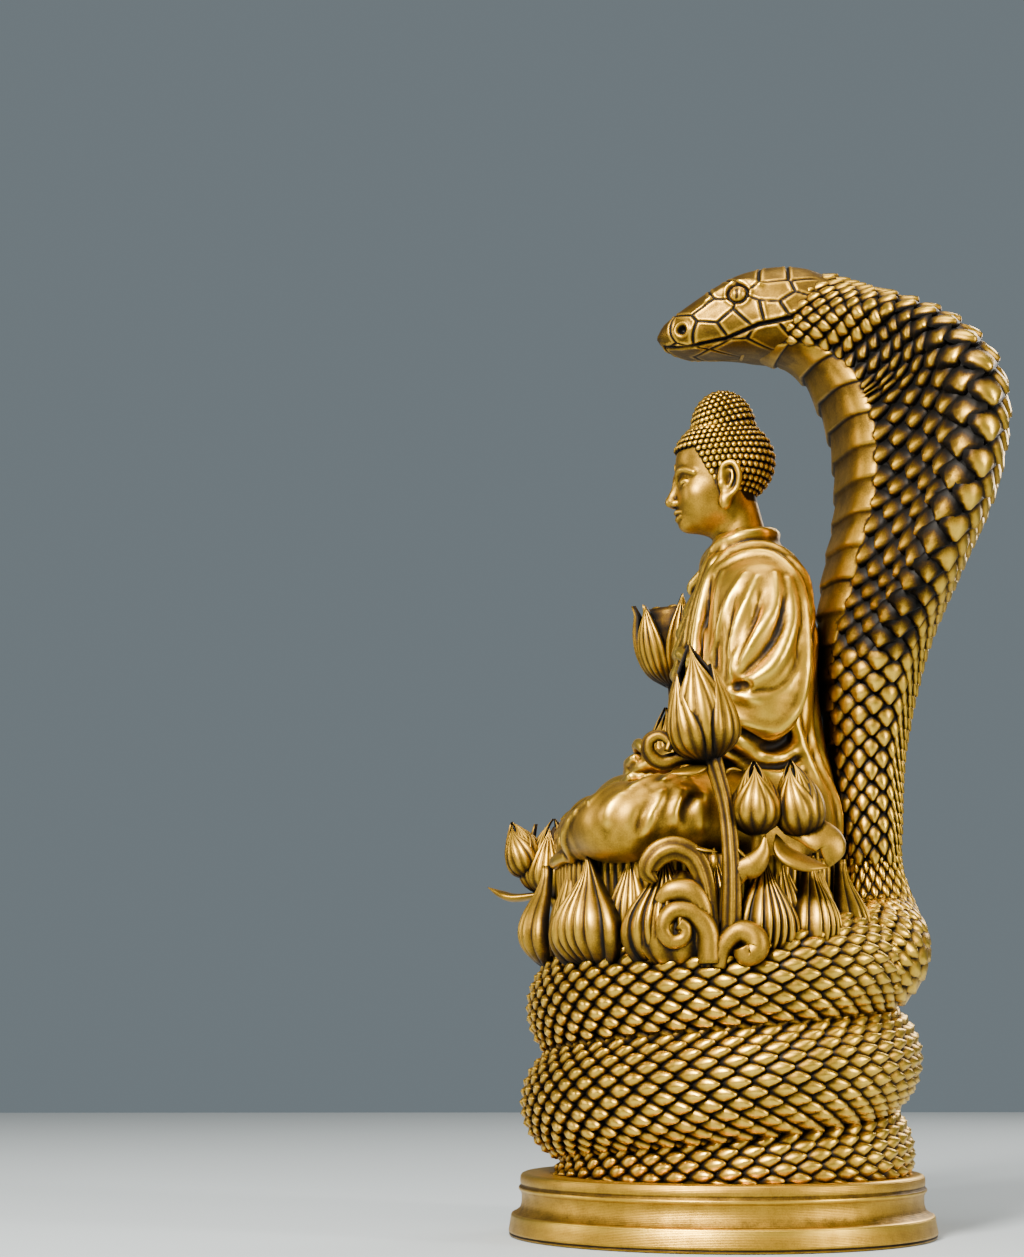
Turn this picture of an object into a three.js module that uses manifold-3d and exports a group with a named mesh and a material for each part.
// Naga Buddha: a robed figure seated on a lotus seat, on the coils of a cobra whose hood rises behind the figure and
// whose head leans out over it, with lotus stems at both sides. All of that is cast in one and stands on a separate
// round moulded plinth. Millimetres, +Z up, the figure faces -Y. The origin is the centre of the plinth's underside.
import * as THREE from "three";
import { mergeVertices } from "three/addons/utils/BufferGeometryUtils.js";
import Module from "manifold-3d";

const wasm = await Module();
wasm.setup();

// Driving dimensions
const PLINTH_RADIUS = 54;
const PLINTH_HEIGHT = 15.6;
const PLINTH_BAND_HEIGHT = 5.6;
const PLINTH_COVE_DEPTH = 3.4;
const PLINTH_BEAD = 0.6;
const PLINTH_SEGMENTS = 32;

const COIL_RADIUS = 35; // from the plinth's axis to the middle of the cobra's body
const BODY_RADIUS = 14.2;
const COIL_PITCH = 23.9;
const COIL_START_DEPTH = 11.97; // the body's middle starts this far below the plinth's top, where the coil is cut flat
const COIL_END_ANGLE = 62; // degrees from +X towards +Y, where the body leaves the coil and turns up into the neck
const COIL_END_HEIGHT = 67.2;
const COIL_TURNS = (COIL_END_HEIGHT - PLINTH_HEIGHT + COIL_START_DEPTH) / COIL_PITCH;
const FOOT_TUCK = 7; // how much nearer to the axis the lowest turn lies than the middle one
const TOP_TUCK = 2; // and the top one
const COIL_STEPS_PER_TURN = 28;
const BODY_FACETS = 8; // across the side of the body that shows
const SCALE_RISE = 1.1;

const SEAT_CENTRE_Y = -5.2;
const SEAT_HALF_WIDTH = 42.6; // at the rim, sideways
const SEAT_HALF_DEPTH = 38.2;
const SEAT_BOTTOM = COIL_END_HEIGHT - 1.2; // the seat is sunk into the top coil
const SEAT_HEIGHT = 27.6;
const SEAT_TOP = SEAT_BOTTOM + SEAT_HEIGHT;
const PETAL_COUNT = 12;
const PETAL_HEIGHT = 27;
const PETAL_THICKNESS = 7;
const PETAL_FLUTES = 4; // spaces between the columns of points across one petal

const FIGURE_HEIGHT = 124; // from the seat to the top of the hair
const HOOD_HALF_WIDTH = 54;

const TURN = Math.PI * 2;
const radians = (degrees) => (degrees * Math.PI) / 180;
const vec = (x, y, z) => new THREE.Vector3(x, y, z);
const mix = (a, b, t) => a + (b - a) * t;
const smooth = (low, high, x) => {
  const t = Math.min(1, Math.max(0, (x - low) / (high - low)));
  return t * t * (3 - 2 * t);
};

// Solids
// A closed mesh as a manifold-3d solid, with its faces turned outwards.
function toSolid(geometry) {
  const bare = geometry.clone();
  bare.deleteAttribute("normal");
  bare.deleteAttribute("uv");
  const merged = mergeVertices(bare, 1e-4);
  const vertProperties = new Float32Array(merged.attributes.position.array);
  const triVerts = new Uint32Array(merged.index.array);
  const made = new wasm.Manifold(new wasm.Mesh({ numProp: 3, vertProperties, triVerts }));
  if (made.volume() > 0) return made;
  for (let i = 0; i < triVerts.length; i += 3) {
    [triVerts[i], triVerts[i + 1]] = [triVerts[i + 1], triVerts[i]];
  }
  return new wasm.Manifold(new wasm.Mesh({ numProp: 3, vertProperties, triVerts }));
}

function toGeometry(solid) {
  const mesh = solid.getMesh();
  const positions = new Float32Array(mesh.numVert * 3);
  for (let i = 0; i < mesh.numVert; i++) {
    positions.set(mesh.vertProperties.subarray(i * mesh.numProp, i * mesh.numProp + 3), i * 3);
  }
  const geometry = new THREE.BufferGeometry();
  geometry.setAttribute("position", new THREE.BufferAttribute(positions, 3));
  geometry.setIndex(new THREE.BufferAttribute(new Uint32Array(mesh.triVerts), 1));
  return geometry;
}

const joined = (solids) => solids.reduce((whole, next) => whole.add(next));

// A solid skin over rings of points, with a fan over each end. The diagonals of its cells run alternately, so that a
// pattern that raises every second point makes small pyramids.
function loft(rings) {
  const count = rings[0].length;
  const middle = (ring) => ring.reduce((sum, p) => sum.add(p), vec(0, 0, 0)).divideScalar(count);
  const points = [...rings.flat(), middle(rings[0]), middle(rings.at(-1))];
  const first = rings.length * count;
  const index = [];
  for (let j = 0; j < count; j++) {
    const next = (j + 1) % count;
    for (let i = 0; i + 1 < rings.length; i++) {
      const a = i * count;
      const b = a + count;
      if ((i + j) % 2) index.push(a + j, a + next, b + next, a + j, b + next, b + j);
      else index.push(a + j, a + next, b + j, a + next, b + next, b + j);
    }
    const last = (rings.length - 1) * count;
    index.push(first, next, j, first + 1, last + j, last + next);
  }
  const geometry = new THREE.BufferGeometry().setFromPoints(points);
  geometry.setIndex(index);
  return toSolid(geometry);
}

// Rings square to a line of centres. size(t, angle) gives the distance from the centre, and the section's angle starts
// at the side that lies nearest to the guide direction.
function sweep(centres, sides, size, guide = vec(0, 0, 1), flat = 1) {
  const last = centres.length - 1;
  let side = guide.clone();
  return loft(
    centres.map((centre, i) => {
      const along = centres[Math.min(i + 1, last)].clone().sub(centres[Math.max(i - 1, 0)]).normalize();
      side = side.sub(along.clone().multiplyScalar(side.dot(along))).normalize();
      const across = along.clone().cross(side);
      return Array.from({ length: sides }, (_, j) => {
        const angle = (TURN * j) / sides;
        const radius = size(i / last, angle, i, j);
        return centre
          .clone()
          .addScaledVector(side, radius * Math.cos(angle) * flat)
          .addScaledVector(across, radius * Math.sin(angle));
      });
    }),
  );
}

const curvePoints = (points, steps) => new THREE.CatmullRomCurve3(points.map((p) => vec(...p))).getPoints(steps);

// A round limb, stem or fold through a few points, each point with its own radius.
function limb(points, radii, steps, sides, flat = 1, guide = vec(0, 0, 1)) {
  const radiusAt = (t) => {
    const at = t * (radii.length - 1);
    const i = Math.min(Math.floor(at), radii.length - 2);
    return mix(radii[i], radii[i + 1], at - i);
  };
  return sweep(curvePoints(points, steps), sides, (t) => radiusAt(t), guide, flat);
}

function ball(centre, radii, across = 10, down = 7, tilt = [0, 0, 0]) {
  const geometry = new THREE.SphereGeometry(1, across, down);
  geometry.scale(...radii);
  geometry.rotateX(tilt[0]).rotateY(tilt[1]).rotateZ(tilt[2]);
  geometry.translate(...centre);
  return toSolid(geometry);
}

// Plinth: a turned round base with a flat band, a shallow cove and two beads under its rim.
function plinth() {
  const top = PLINTH_HEIGHT;
  const waist = PLINTH_RADIUS - PLINTH_COVE_DEPTH;
  const coveTop = top - 4.8;
  const profile = [
    [0, 0],
    [PLINTH_RADIUS, 0],
    [PLINTH_RADIUS - 0.4, 1.4],
    [PLINTH_RADIUS - 0.9, PLINTH_BAND_HEIGHT],
    [waist + 1.2, PLINTH_BAND_HEIGHT + 0.9],
    [waist, PLINTH_BAND_HEIGHT + 2.8],
    [waist, coveTop],
    [waist + PLINTH_BEAD, coveTop + 0.7],
    [waist + PLINTH_BEAD, coveTop + 1.5],
    [waist, coveTop + 2.2],
    [waist, top - 1.2],
    [waist - 0.8, top],
    [0, top],
  ].map(([r, z]) => new THREE.Vector2(r, z));
  return new THREE.LatheGeometry(profile, PLINTH_SEGMENTS).rotateX(Math.PI / 2);
}

// Cobra
// The line of the body through the coils: a helix whose lowest turn lies a little nearer to the axis.
function coilCentre(turnsBeforeEnd) {
  const angle = radians(COIL_END_ANGLE) - TURN * turnsBeforeEnd;
  const height = COIL_END_HEIGHT - COIL_PITCH * turnsBeforeEnd;
  const lowest = PLINTH_HEIGHT + BODY_RADIUS;
  const low = 1 - smooth(lowest - COIL_PITCH, lowest, height);
  const high = smooth(COIL_END_HEIGHT - COIL_PITCH * 0.7, COIL_END_HEIGHT - COIL_PITCH * 0.3, height);
  const radius = COIL_RADIUS - FOOT_TUCK * low - TOP_TUCK * high;
  return vec(radius * Math.cos(angle), radius * Math.sin(angle), height);
}

const scaled = (i, j) => ((i + j) % 2 ? 0 : SCALE_RISE);

// The body from the foot of the coils to the neck, in one skin of small raised scales. A turn has its scales only on
// the side that its neighbours leave free, and is a plain wedge towards the axis. Past the last turn the scales close
// round the body, which bends up and thins into the neck.
function body() {
  const steps = Math.round(COIL_TURNS * COIL_STEPS_PER_TURN);
  const neck = HOOD[0];
  const end = coilCentre(0);
  const rise = neck.centre.z - end.z;
  const bend = new THREE.CatmullRomCurve3([
    coilCentre(0.04),
    end,
    vec(end.x * 0.42, neck.centre.y - 1, end.z + rise * 0.2),
    vec(0.5, neck.centre.y + 1, end.z + rise * 0.56),
    neck.centre.clone(),
    neck.centre.clone().add(vec(0, -0.6, 8)),
  ]);
  const bendSteps = 10;
  const line = Array.from({ length: steps }, (_, i) => coilCentre(COIL_TURNS * (1 - i / steps)));
  for (let i = 0; i <= bendSteps; i++) line.push(bend.getPointAt(mix(0.12, 1, i / bendSteps)));
  const touch = Math.asin(COIL_PITCH / 2 / BODY_RADIUS) + radians(3);
  return loft(
    line.map((centre, i) => {
      const before = line[Math.max(i - 1, 0)];
      const after = line[Math.min(i + 1, line.length - 1)];
      const along = after.clone().sub(before).normalize();
      const turnsLeft = COIL_TURNS * Math.max(0, 1 - i / steps);
      const bent = smooth(0, bendSteps, i - steps);
      const side = vec(centre.x, centre.y, 0).normalize().lerp(vec(0, 1, 0), bent);
      side.sub(along.clone().multiplyScalar(side.dot(along))).normalize();
      const up = side.clone().cross(along);
      const opening = smooth(-3, 4, i - steps);
      const below = mix(mix(touch, radians(96), smooth(1.62, 1.72, turnsLeft)), radians(150), opening);
      const above = mix(mix(radians(102), touch, smooth(0.96, 1.08, turnsLeft)), radians(150), opening);
      const thin = mix(BODY_RADIUS, neck.depth / 2 + 0.6, smooth(0.1, 0.9, (i - steps) / bendSteps));
      const radius = i - steps > bendSteps - 2 ? thin * 0.8 : thin;
      const at = (out, high) => centre.clone().addScaledVector(side, out).addScaledVector(up, high);
      const ring = Array.from({ length: BODY_FACETS + 1 }, (_, j) => {
        const angle = mix(-below, above, j / BODY_FACETS);
        const reach = radius + scaled(i, j) * mix(1, 0.6, bent);
        return at(reach * Math.cos(angle), reach * Math.sin(angle));
      });
      const inner = mix(-9, -radius, opening);
      const half = mix(COIL_PITCH / 2 + 1.6, radius * 0.1, opening);
      return [...ring, at(inner, half), at(inner, -half)];
    }),
  );
}

// Stations up the neck, over the hood and along the head: the ventral and dorsal points as [y, height above the seat],
// and the half width as a share of the hood's.
const HOOD = [
  { belly: [33, -2.6], back: [46.4, -1.6], half: 0.13 },
  { belly: [31.6, 7.4], back: [47, 8], half: 0.18 },
  { belly: [28.6, 30.4], back: [48.4, 29.4], half: 0.23 },
  { belly: [26.4, 54.4], back: [53.4, 53.4], half: 0.42 },
  { belly: [27.4, 74.4], back: [59.4, 72.4], half: 0.76 },
  { belly: [30.2, 93.4], back: [66, 93.4], half: 0.96 },
  { belly: [29.2, 111.4], back: [69.6, 114.4], half: 1 },
  { belly: [25.4, 123.4], back: [66.4, 131], half: 0.88 },
  { belly: [19.6, 130.2], back: [50, 145], half: 0.56 },
  { belly: [12, 131.4], back: [31, 153], half: 0.27 },
  { belly: [3, 131.4], back: [14.5, 155.4], half: 0.24 },
  { belly: [-3.5, 132.4], back: [2.5, 150.8], half: 0.2 },
  { belly: [-8.5, 133.8], back: [-6.5, 144.2], half: 0.15 },
  { belly: [-12.2, 135.8], back: [-12, 139.6], half: 0.07 },
].map(({ belly, back, half }) => ({
  belly: vec(half * HOOD_HALF_WIDTH, belly[0], SEAT_TOP + belly[1]),
  back: vec(0, back[0], SEAT_TOP + back[1]),
  centre: vec(0, (belly[0] + back[0]) / 2, SEAT_TOP + (belly[1] + back[1]) / 2),
  depth: Math.hypot(back[0] - belly[0], back[1] - belly[1]),
}));
const HOOD_STEPS = 25;
const HOOD_SIDES = 26;
const HEAD_START = 8.5; // the station where the scales end and the head's plates begin

// The spread hood's section from the belly's middle to the back's: share of the half width, share of the depth.
const HOOD_SECTION = new THREE.CatmullRomCurve3(
  [
    [0, 0],
    [0.3, 0.08],
    [0.42, 0.24],
    [0.66, 0.42],
    [0.92, 0.56],
    [1, 0.7],
    [0.9, 0.84],
    [0.66, 0.93],
    [0.34, 0.98],
    [0, 1],
  ].map(([wide, deep]) => vec(wide, deep, 0)),
);

// Neck, hood and head in one skin: round at the neck and the head, and spread between them into a hood whose flanks
// sweep back from the plates of the belly.
function hood() {
  const last = HOOD.length - 1;
  const centreLine = new THREE.CatmullRomCurve3(HOOD.map((s) => s.centre));
  const bellyLine = new THREE.CatmullRomCurve3(HOOD.map((s) => s.belly));
  const backLine = new THREE.CatmullRomCurve3(HOOD.map((s) => s.back));
  const halfRound = HOOD_SIDES / 2;
  const rings = Array.from({ length: HOOD_STEPS + 1 }, (_, i) => {
    const t = centreLine.getUtoTmapping(i / HOOD_STEPS, 0);
    const belly = bellyLine.getPoint(t);
    const back = backLine.getPoint(t);
    const half = belly.x;
    belly.x = 0;
    const inwards = back.clone().sub(belly);
    const depth = inwards.length();
    inwards.normalize();
    const spread = smooth(0.24, 0.75, half / HOOD_HALF_WIDTH);
    return Array.from({ length: HOOD_SIDES }, (_, j) => {
      const k = j <= halfRound ? j : HOOD_SIDES - j;
      const mirror = j <= halfRound ? 1 : -1;
      const angle = (Math.PI * k) / halfRound;
      const flat = HOOD_SECTION.getPoint(k / halfRound);
      const wide = half * mix(Math.sin(angle), flat.x, spread);
      const deep = depth * mix((1 - Math.cos(angle)) / 2, flat.y, spread);
      const plated = k < 3 ? (i % 2 ? 0 : SCALE_RISE * 0.8) : scaled(i, j);
      const rise = t * last > HEAD_START ? 0 : plated;
      return belly
        .clone()
        .addScaledVector(inwards, deep - rise * Math.cos(angle))
        .add(vec(mirror * (wide + rise * Math.sin(angle)), 0, 0));
    });
  });
  return loft(rings);
}

// The head's eyes, brows, jaws and nostrils, both sides alike.
function cobraFace() {
  const parts = [];
  for (const side of [1, -1]) {
    const at = (x, y, z) => [side * x, y, SEAT_TOP + z];
    parts.push(ball(at(10, 5.4, 147.2), [2.2, 2.4, 2.4], 6, 4));
    parts.push(limb([at(6, -2.6, 146.4), at(9.8, 4, 150.2), at(10.4, 11, 150.4)], [0.9, 1.8, 1], 4, 4));
    parts.push(limb([at(5, -9.4, 137), at(9.4, -2, 136.8), at(12.6, 8, 139), at(12.4, 17, 143)], [0.9, 1.8, 2.6, 1.6], 5, 5));
    parts.push(ball(at(5, -8.4, 141), [1.3, 1.6, 1.6], 5, 4));
  }
  return parts;
}

// Lotus
// The seat in one skin. Each large petal has its columns of flutes, which close up towards its tip, and one column
// between two petals follows the smaller petal behind them.
function lotusSeat() {
  const half = Math.PI / PETAL_COUNT;
  const levels = [-0.3, 0.04, 0.3, 0.6, 0.85, 1];
  const rings = levels.map((h) => {
    const up = Math.max(0, h);
    const swell = Math.sin(Math.PI * Math.pow(mix(0.1, 0.96, up), 0.85));
    const width = up < 0.4 ? Math.min(1, 0.35 + 0.9 * swell) : Math.cos((Math.PI / 2) * smooth(0.4, 1.04, up) ** 1.2);
    const inset = h < 0 ? 12 : 0;
    const ring = [];
    for (let k = 0; k < PETAL_COUNT * 2; k += 2) {
      const facing = (Math.PI * (k + 1)) / PETAL_COUNT - Math.PI / 2;
      for (let j = 0; j <= PETAL_FLUTES + 1; j++) {
        const between = j > PETAL_FLUTES;
        const across = between ? 1 : (j / PETAL_FLUTES) * 2 - 1;
        const angle = facing + half * (between ? 1 : across * width * 0.94);
        const ridge = j % 2 ? 0.82 : 1.04;
        const round = Math.sqrt(1 - 0.72 * across * across);
        const out = between ? -PETAL_THICKNESS * 0.12 : PETAL_THICKNESS * swell * round * ridge;
        const low = between ? -3.4 : -1.6 * Math.abs(across) * (1 - up);
        ring.push(
          vec(
            (SEAT_HALF_WIDTH - inset + out) * Math.cos(angle),
            SEAT_CENTRE_Y + (SEAT_HALF_DEPTH - inset + out) * Math.sin(angle),
            SEAT_TOP - PETAL_HEIGHT * (1 - h) + (h > 0.8 ? low * 0.5 : -low),
          ),
        );
      }
    }
    return ring;
  });
  return [loft(rings)];
}

// A lotus about its own axis. Its outer petals are fluted and end in raised tips. Inside them a closed one has the
// rest of the bud, and an open one has its flat seed pod. Each ring is [radius, height, rise of the petal tips].
const CLOSED_BUD = [[0.3, 0, 0], [0.92, 0.2, 0], [1, 0.42, 0], [0.74, 0.66, 0.1], [0.48, 0.66, 0], [0.05, 1, 0]];
const OPEN_LOTUS = [[0.3, 0, 0], [0.9, 0.24, 0], [1, 0.55, 0], [0.86, 0.84, 0.15], [0.62, 0.78, 0], [0.56, 0.84, 0]];

function lotus(foot, tip, radius, rings) {
  const axis = vec(...tip).sub(vec(...foot));
  const up = axis.clone().normalize();
  const side = vec(0, -1, 0).addScaledVector(up, up.y).normalize();
  const across = up.clone().cross(side);
  const sides = 8;
  return loft(
    rings.map(([wide, high, rise]) =>
      Array.from({ length: sides }, (_, j) => {
        const angle = (TURN * j) / sides;
        const reach = radius * wide * (j % 2 ? 0.86 : 1.06);
        return vec(...foot)
          .addScaledVector(axis, high + (j % 2 ? -rise : rise))
          .addScaledVector(side, reach * Math.cos(angle))
          .addScaledVector(across, reach * Math.sin(angle));
      }),
    ),
  );
}

const onSeat = (solid) => solid.translate([0, 0, SEAT_BOTTOM]);
const leaf = (points, widest) => limb(points, [0.4, widest, widest * 0.8, 0.3], 4, 4, 0.4);

// Stems, buds and leaves at the two sides of the seat, standing on the top coil, with their heights above the seat's
// bottom. The +X side has a bud on a tall stem and a low pair of buds. The -X side has a tall open lotus, a bud, and an
// open lotus in front of the knee.
function nearFlowers() {
  return [
    limb([[40, -4.6, -6], [43, -4.2, 16], [44, -2.9, 36], [44.4, -6, 53]], [3.2, 2.6, 2.3, 2], 5, 6),
    lotus([44.5, -7.4, 49.4], [44.6, -8.6, 77.4], 9.4, CLOSED_BUD),
    limb([[38, 3, -4], [42, 2.6, 14], [43, 6.4, 35]], [2.4, 1.9, 1.8], 4, 5),
    lotus([43, 6, 32], [43.6, 5.6, 50], 6, CLOSED_BUD),
    lotus([41.6, 15.6, 31.4], [42.4, 14.4, 50], 6, CLOSED_BUD),
    leaf([[34, 8, 24], [42, 13, 32], [44, 19, 31], [44, 23, 23]], 4.4),
    leaf([[44, -3.4, 44], [46.5, -9, 46], [46.5, -15, 49], [44.5, -20.6, 55]], 3.8),
    leaf([[42.4, -2, 38], [46, 1, 42], [46.4, 3.4, 46], [46, 5, 49]], 2.6),
  ];
}

function farFlowers() {
  return [
    limb([[-40, -4.6, -10], [-43.5, -3, 18], [-46, -5, 52], [-47.6, -6.6, 84]], [3.2, 2.8, 2.3, 2.1], 6, 6),
    lotus([-47.6, -6.4, 81], [-48, -7.4, 108], 11, OPEN_LOTUS),
    lotus([-44.5, -8.4, 48], [-46, -9.4, 75], 7.6, CLOSED_BUD),
    limb([[-36, -16, -4], [-43, -28, 10], [-48, -38, 18], [-49, -42, 26]], [2.6, 2.2, 2.2, 2.2], 5, 6),
    lotus([-49, -42, 22], [-49, -42.6, 44], 11.4, OPEN_LOTUS),
    leaf([[-46, -38, 24], [-50, -50, 22], [-52, -55, 23], [-52, -60, 25]], 3.6),
    leaf([[-47, -40, 24], [-56, -34, 21], [-60, -29, 21], [-62, -24, 24]], 3.6),
  ];
}

// A scrolled leaf and two curled shoots at the foot of the stems, also by their height above the seat's bottom.
function scrolls(side) {
  const at = (y, z, out) => [side * out, y, z];
  const arch = [at(-21.2, 22.5, 41), at(-15.1, 29.6, 44), at(-7.3, 23.8, 44.6), at(-6.4, 3, 40)];
  const spiral = [at(-8.2, 16, 43), at(-17.2, 14.6, 44), at(-17, 8, 44.6), at(-12.6, 8.6, 45), at(-13.8, 12, 45.4)];
  const shoot = [at(-5.1, 0, 43), at(-2.7, 8.3, 44.4), at(1.8, 9.2, 45), at(3.6, 5.4, 45.4)];
  return [
    ball(at(-12.4, 15.8, 40.6), [4.6, 7.4, 10.6], 8, 5),
    limb(arch, [0.7, 2.6, 3, 2.8], 6, 5),
    limb(spiral, [1.6, 2.2, 1.9, 1.7, 1.5], 7, 5),
    limb(shoot, [2.4, 2.2, 2.6, 3], 6, 5),
  ];
}

// Figure. Its parts are placed by shares of its own height above the seat.
const H = FIGURE_HEIGHT;
const on = (x, y, z) => [x * H, y * H, SEAT_TOP + z * H];
const shares = (radii) => radii.map((r) => r * H);

// The robed trunk's height, middle, half width and half depth.
const TORSO = [
  [-0.04, 0.046, 0.24, 0.2],
  [0.06, 0.06, 0.23, 0.188],
  [0.15, 0.062, 0.2, 0.166],
  [0.27, 0.054, 0.176, 0.146],
  [0.38, 0.056, 0.182, 0.146],
  [0.47, 0.06, 0.198, 0.142],
  [0.56, 0.068, 0.206, 0.126],
  [0.62, 0.073, 0.182, 0.106],
  [0.66, 0.07, 0.124, 0.086],
  [0.69, 0.062, 0.068, 0.062],
];
const TORSO_RINGS = 15;
const FOLD_RISE = 0.011;
const FOLD_SAG = 0.085;

function torsoAt(z) {
  const above = TORSO.findIndex(([height]) => height > z);
  const next = above < 0 ? TORSO.length - 1 : Math.max(1, above);
  const [low, high] = [TORSO[next - 1], TORSO[next]];
  const t = (z - low[0]) / (high[0] - low[0]);
  return [1, 2, 3].map((k) => mix(low[k], high[k], t));
}

// The trunk's rings are the folds of its robe: every second one stands out, and in front they hang low in the middle.
function torso() {
  const sides = 12;
  return loft(
    Array.from({ length: TORSO_RINGS }, (_, i) => {
      const t = i / (TORSO_RINGS - 1);
      const height = mix(TORSO[0][0], TORSO.at(-1)[0], Math.pow(t, 0.86));
      const fold = i % 2 ? FOLD_RISE * smooth(0, 0.2, t) * (1 - smooth(0.94, 1, t)) : 0;
      return Array.from({ length: sides }, (_, j) => {
        const angle = (TURN * j) / sides;
        const front = Math.max(0, Math.cos(angle));
        const z = height - FOLD_SAG * Math.pow(front, 1.4) * Math.sin(Math.PI * Math.min(1, t * 1.02));
        const [y, wide, deep] = torsoAt(z);
        const rise = fold * (0.35 + 0.65 * front);
        return vec(...on((wide + rise) * Math.sin(angle), y - (deep + rise) * Math.cos(angle), z));
      });
    }),
  );
}

// The folded end of the robe, which hangs from the left shoulder down the chest and ends in steps.
function sash() {
  const x = 0.104;
  const levels = [0.63, 0.52, 0.42, 0.34, 0.27];
  const points = levels.map((z) => {
    const [y, wide, deep] = torsoAt(z - 0.02);
    return on(x, y - deep * Math.sqrt(1 - (x / wide) ** 2) - 0.006, z);
  });
  return limb(points, shares([0.016, 0.036, 0.038, 0.04, 0.034]), 6, 6, 0.5, vec(0, -1, 0));
}

// A part of the robe round a limb, whose every second strip stands out as a fold.
function sleeve(points, radii, steps, sides, fold, flat = 1) {
  const skin = new THREE.CatmullRomCurve3(radii.map((r, i) => vec(i, r, 0)));
  return sweep(
    curvePoints(points, steps),
    sides,
    (t, angle, i, j) => (skin.getPoint(t).y + (j % 2 ? fold : 0)) * H,
    vec(0, 0, 1),
    flat,
  );
}

function arm(side) {
  const at = (x, y, z) => on(side * x, y, z);
  const upper = [at(0.12, 0.078, 0.6), at(0.168, 0.08, 0.53), at(0.196, 0.096, 0.4), at(0.2, 0.1, 0.29), at(0.15, 0.02, 0.22)];
  const wrist = [at(0.17, 0.02, 0.235), at(0.12, -0.07, 0.212), at(0.06, -0.13, 0.206)];
  return [
    sleeve(upper, [0.05, 0.066, 0.074, 0.076, 0.046], 7, 12, 0.017),
    limb(wrist, shares([0.05, 0.036, 0.03]), 3, 7),
  ];
}

// A crossed leg in its robe, from the hip round the knee to the other shin.
function leg(side) {
  const at = (x, y, z) => on(side * x, y, z);
  const over = side < 0 ? 0.014 : 0;
  const line = [at(0.1, 0.08, 0.074), at(0.23, -0.06, 0.076), at(0.285, -0.2, 0.064), at(0.18, -0.262, 0.058 + over), at(-0.03, -0.25, 0.062 + over)];
  return sleeve(line, [0.097, 0.094, 0.074, 0.068, 0.047], 8, 12, 0.011);
}

// A bare foot that lies on the other thigh, sole up.
function foot(side) {
  const line = [on(side * -0.04, -0.24, 0.14), on(side * 0.09, -0.215, 0.158), on(side * 0.19, -0.17, 0.15)];
  return limb(line, shares([0.026, 0.034, 0.02]), 3, 6, 0.75);
}

// Hands in the lap, one on the other, with the thumb tips together.
function hand(side) {
  const lift = side > 0 ? 0.01 : -0.006;
  const palm = [on(side * 0.09, -0.11, 0.2), on(side * 0.03, -0.155, 0.196 + lift), on(side * -0.055, -0.16, 0.19 + lift)];
  const thumb = [on(side * 0.07, -0.125, 0.222), on(side * 0.038, -0.16, 0.236), on(side * -0.004, -0.165, 0.24)];
  return [limb(palm, shares([0.03, 0.032, 0.016]), 3, 6, 0.6), limb(thumb, shares([0.012, 0.011, 0.009]), 2, 4)];
}

// Head: a face with brow, nose, lips and chin in front, and hair in small raised curls over the rest, with the crown's
// knot on top. Its rows lie at these angles from the crown, closest where the knot starts.
const HEAD = { y: 0.018 * H, z: SEAT_TOP + 0.815 * H, wide: 0.077 * H, deep: 0.098 * H, crown: 0.132 * H, chin: 0.112 * H };
const HEAD_ROWS = [9, 20, 29, 35, 43, 52, 61, 70, 79, 88, 97, 106, 115, 125, 137, 152];
const HEAD_COLUMNS = 20;
const KNOT_ANGLE = 34;
const KNOT_RISE = 0.045 * H;
const CURL_RISE = 0.9;

// Swellings and hollows of the face: place sideways and up, spread in both, and how far it stands out in mm.
const FACE = [
  { at: [0, -0.16], spread: [0.15, 0.26], out: 1.6 },
  { at: [0, -0.38], spread: [0.19, 0.1], out: 1.6 },
  { at: [0.4, 0.12], spread: [0.3, 0.09], out: 0.8 },
  { at: [-0.4, 0.12], spread: [0.3, 0.09], out: 0.8 },
  { at: [0.38, -0.08], spread: [0.2, 0.1], out: -0.9 },
  { at: [-0.38, -0.08], spread: [0.2, 0.1], out: -0.9 },
  { at: [0, -0.62], spread: [0.28, 0.08], out: 1.1 },
  { at: [0, -0.88], spread: [0.3, 0.1], out: 1.5 },
];

function head() {
  return loft(
    HEAD_ROWS.map((polar, i) =>
      Array.from({ length: HEAD_COLUMNS }, (_, j) => {
        const turn = (TURN * j) / HEAD_COLUMNS;
        const azimuth = turn - 0.45 * Math.sin(turn);
        const out = Math.sin(radians(polar));
        const x = out * Math.sin(azimuth);
        const y = -out * Math.cos(azimuth);
        const z = Math.cos(radians(polar));
        const hairLine = mix(0.44 - 0.4 * smooth(0.4, 0.9, Math.abs(x)), -0.38, smooth(-0.1, 0.35, y));
        const hair = smooth(hairLine - 0.06, hairLine + 0.06, z);
        const curl = hair > 0.5 && (i + j) % 2 ? CURL_RISE : 0;
        const face = FACE.reduce((sum, { at, spread, out }) => {
          return sum + out * Math.exp(-(((x - at[0]) / spread[0]) ** 2) - ((z - at[1]) / spread[1]) ** 2);
        }, 0);
        const stand = hair * 1.2 + curl;
        const jaw = mix(0.7, 1, smooth(-1, -0.15, z));
        const knot = polar < KNOT_ANGLE ? KNOT_RISE * mix(1, 0.5, polar / KNOT_ANGLE) : 0;
        return vec(
          x * (HEAD.wide * jaw + stand),
          HEAD.y + y * (HEAD.deep * mix(0.88, 1, smooth(-1, -0.2, z)) + stand) - (y < 0 ? (1 - hair) * face : 0),
          HEAD.z + z * ((z > 0 ? HEAD.crown : HEAD.chin) + curl * 0.6) + knot,
        );
      }),
    ),
  );
}

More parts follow.
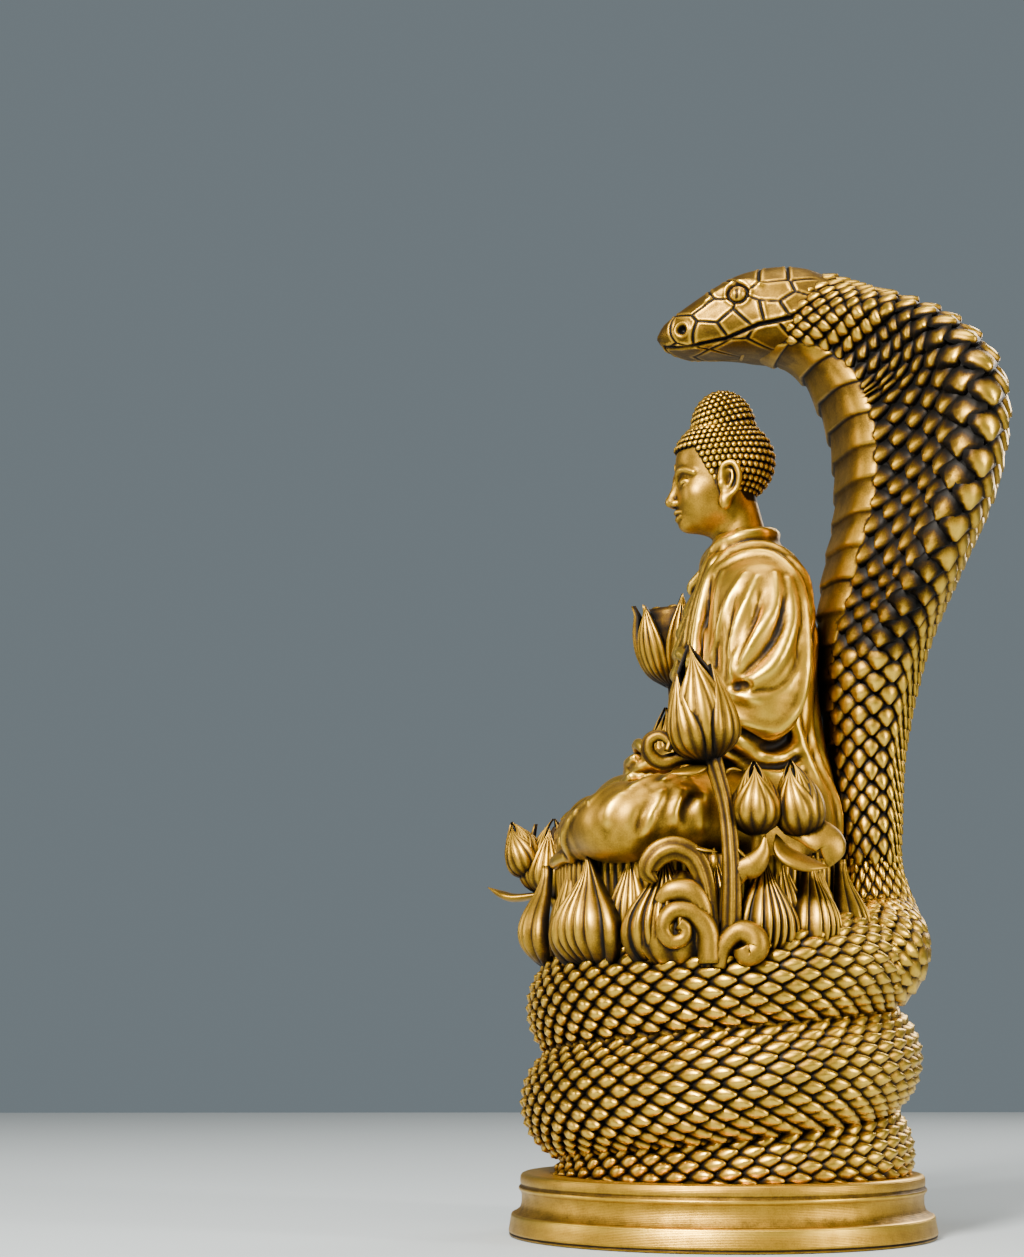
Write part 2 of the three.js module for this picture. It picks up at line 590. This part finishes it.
function headParts() {
  const neck = limb([on(0, 0.066, 0.63), on(0, 0.052, 0.7), on(0, 0.034, 0.78)], shares([0.064, 0.054, 0.056]), 2, 8);
  const ears = [1, -1].map((side) => {
    const x = side * HEAD.wide * 0.96;
    const line = [[x, HEAD.y + 0.4, HEAD.z + 3.6], [x * 1.1, HEAD.y + 2.6, HEAD.z + 0.4], [x * 1.02, HEAD.y + 1, HEAD.z - 6.4]];
    return limb(line, [1.2, 2, 1.4], 3, 4, 1, vec(1, 0, 0));
  });
  return [head(), neck, ...ears];
}

function figure() {
  const parts = [torso(), sash(), ...headParts()];
  parts.push(ball(on(0, -0.15, 0.045), shares([0.3, 0.16, 0.085]), 10, 5)); // cloth between the shins
  for (const side of [1, -1]) parts.push(...arm(side), leg(side), foot(side), ...hand(side));
  return parts;
}

// The casting in one: everything above the plinth, with a solid core inside the coils, cut flat where it stands.
function statue() {
  const core = new THREE.CylinderGeometry(COIL_RADIUS - 5, COIL_RADIUS - 9, SEAT_BOTTOM - PLINTH_HEIGHT, 24);
  core.rotateX(Math.PI / 2).translate(0, 0, (PLINTH_HEIGHT + SEAT_BOTTOM) / 2 - 1);
  const whole = joined([
    toSolid(core),
    body(),
    hood(),
    ...cobraFace(),
    ...lotusSeat(),
    ...[...nearFlowers(), ...farFlowers(), ...scrolls(1), ...scrolls(-1)].map(onSeat),
    ...figure(),
  ]);
  const below = new THREE.BoxGeometry(PLINTH_RADIUS * 3, PLINTH_RADIUS * 3, COIL_PITCH * 4);
  below.translate(0, 0, PLINTH_HEIGHT - COIL_PITCH * 2);
  return toGeometry(whole.subtract(toSolid(below)));
}

const gold = new THREE.MeshStandardMaterial({ color: 0xb08a3e, roughness: 0.38, metalness: 0.9 });
const plinthGold = new THREE.MeshStandardMaterial({ color: 0xa88543, roughness: 0.45, metalness: 0.85 });

function named(name, geometry, material) {
  const mesh = new THREE.Mesh(geometry, material);
  mesh.name = name;
  return mesh;
}

const root = new THREE.Group();
root.add(named("plinth", plinth(), plinthGold));
root.add(named("statue", statue(), gold));

export default root;
